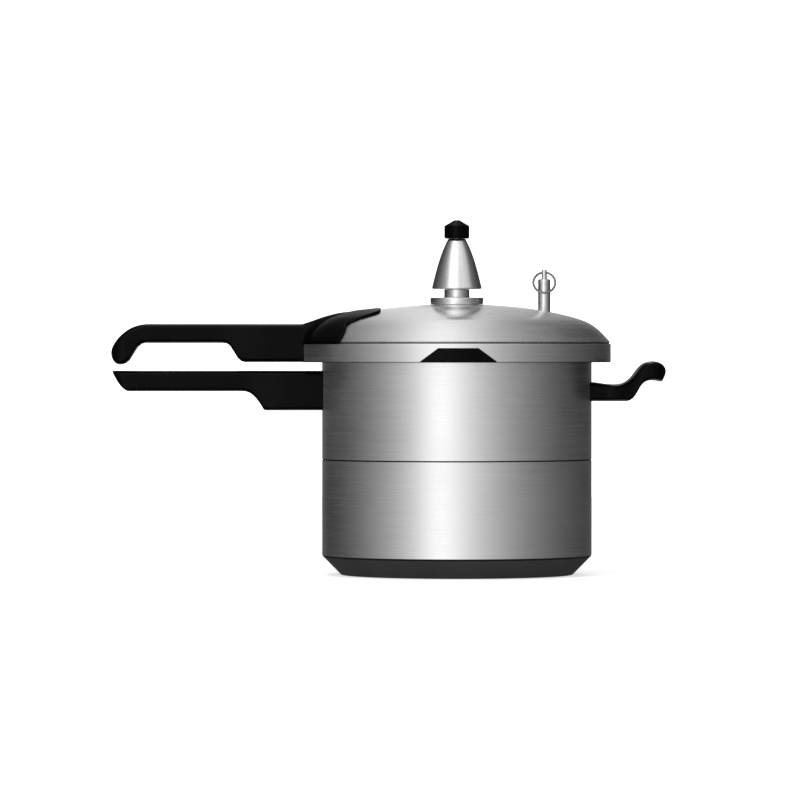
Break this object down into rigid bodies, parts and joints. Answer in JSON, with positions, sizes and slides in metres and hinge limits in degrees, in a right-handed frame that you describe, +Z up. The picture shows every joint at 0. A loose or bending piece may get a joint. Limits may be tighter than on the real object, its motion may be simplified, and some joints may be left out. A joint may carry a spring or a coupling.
{
  "type": "stovetop pressure cooker",
  "caption": "Deep steel pot with a chamfered base, domed bayonet lid, long double handle, helper handle, jiggle weight on a vent pipe and a spring valve with a pull ring.",
  "frame": {"origin": "centre of the flat underside of the base, on the pot's axis", "axes": "+Z up along the pot's axis, the long handles point along -X, the helper handle along +X, the lid's window guard faces -Y"},
  "size_m": [0.4518, 0.2525, 0.2891],
  "materials": {
    "brushed_steel": "fine brushed stainless steel",
    "dark_base": "heat-darkened steel base cap",
    "core": "cast",
    "polished_steel": "polished turned steel",
    "plain_steel": "plain pressed and turned steel",
    "black_phenolic": "glossy moulded phenolic",
    "silicone": "translucent off-white silicone"
  },
  "bodies": {
    "pot": {"pot_shell": "brushed_steel", "base_core": "core", "base_cap": "dark_base", "pot_handle": "black_phenolic", "pot_handle_bracket": "plain_steel", "pot_handle_screw": "plain_steel", "helper_handle": "black_phenolic", "helper_handle_bracket": "plain_steel", "helper_handle_screw": "plain_steel"},
    "gasket": {"lid_gasket": "silicone"},
    "lid": {"lid_shell": "brushed_steel", "rim_window_guard": "black_phenolic", "lid_handle": "black_phenolic", "lid_handle_bracket": "plain_steel", "lid_handle_screw_inner": "plain_steel", "lid_handle_screw_outer": "plain_steel", "vent_base": "polished_steel", "vent_pipe": "plain_steel", "vent_washer": "silicone", "vent_nut": "plain_steel", "vent_guard": "plain_steel", "valve_body": "polished_steel", "valve_top_plug": "polished_steel", "valve_washer": "silicone", "valve_nut": "plain_steel", "valve_spring": "plain_steel"},
    "weight": {"weight_body": "polished_steel", "weight_needle": "plain_steel", "weight_cap": "black_phenolic"},
    "stem": {"valve_stem": "polished_steel", "valve_seal": "silicone"},
    "ring": {"pull_ring": "polished_steel"}
  },
  "joints": [
    {"name": "lid_lift", "type": "slide", "parent": "pot", "child": "gasket", "axis": [0, 0, 1], "range_m": [0, 0.12]},
    {"name": "lid_turn", "type": "hinge", "parent": "gasket", "child": "lid", "pos_m": [0, 0, 0.18], "axis": [0, 0, 1], "range_deg": [0, 45]},
    {"name": "weight_lift", "type": "slide", "parent": "lid", "child": "weight", "axis": [0, 0, 1], "range_m": [0, 0.03]},
    {"name": "valve_lift", "type": "slide", "parent": "lid", "child": "stem", "axis": [0, 0, 1], "range_m": [0, 0.003], "stiffness_N_per_m": 300, "springref_m": -0.01, "deforming": ["valve_spring"]},
    {"name": "ring_swing", "type": "hinge", "parent": "stem", "child": "ring", "pos_m": [0.0713, 0, 0.2465], "axis": [-1, 0, 0], "range_deg": [0, 310]}
  ]
}
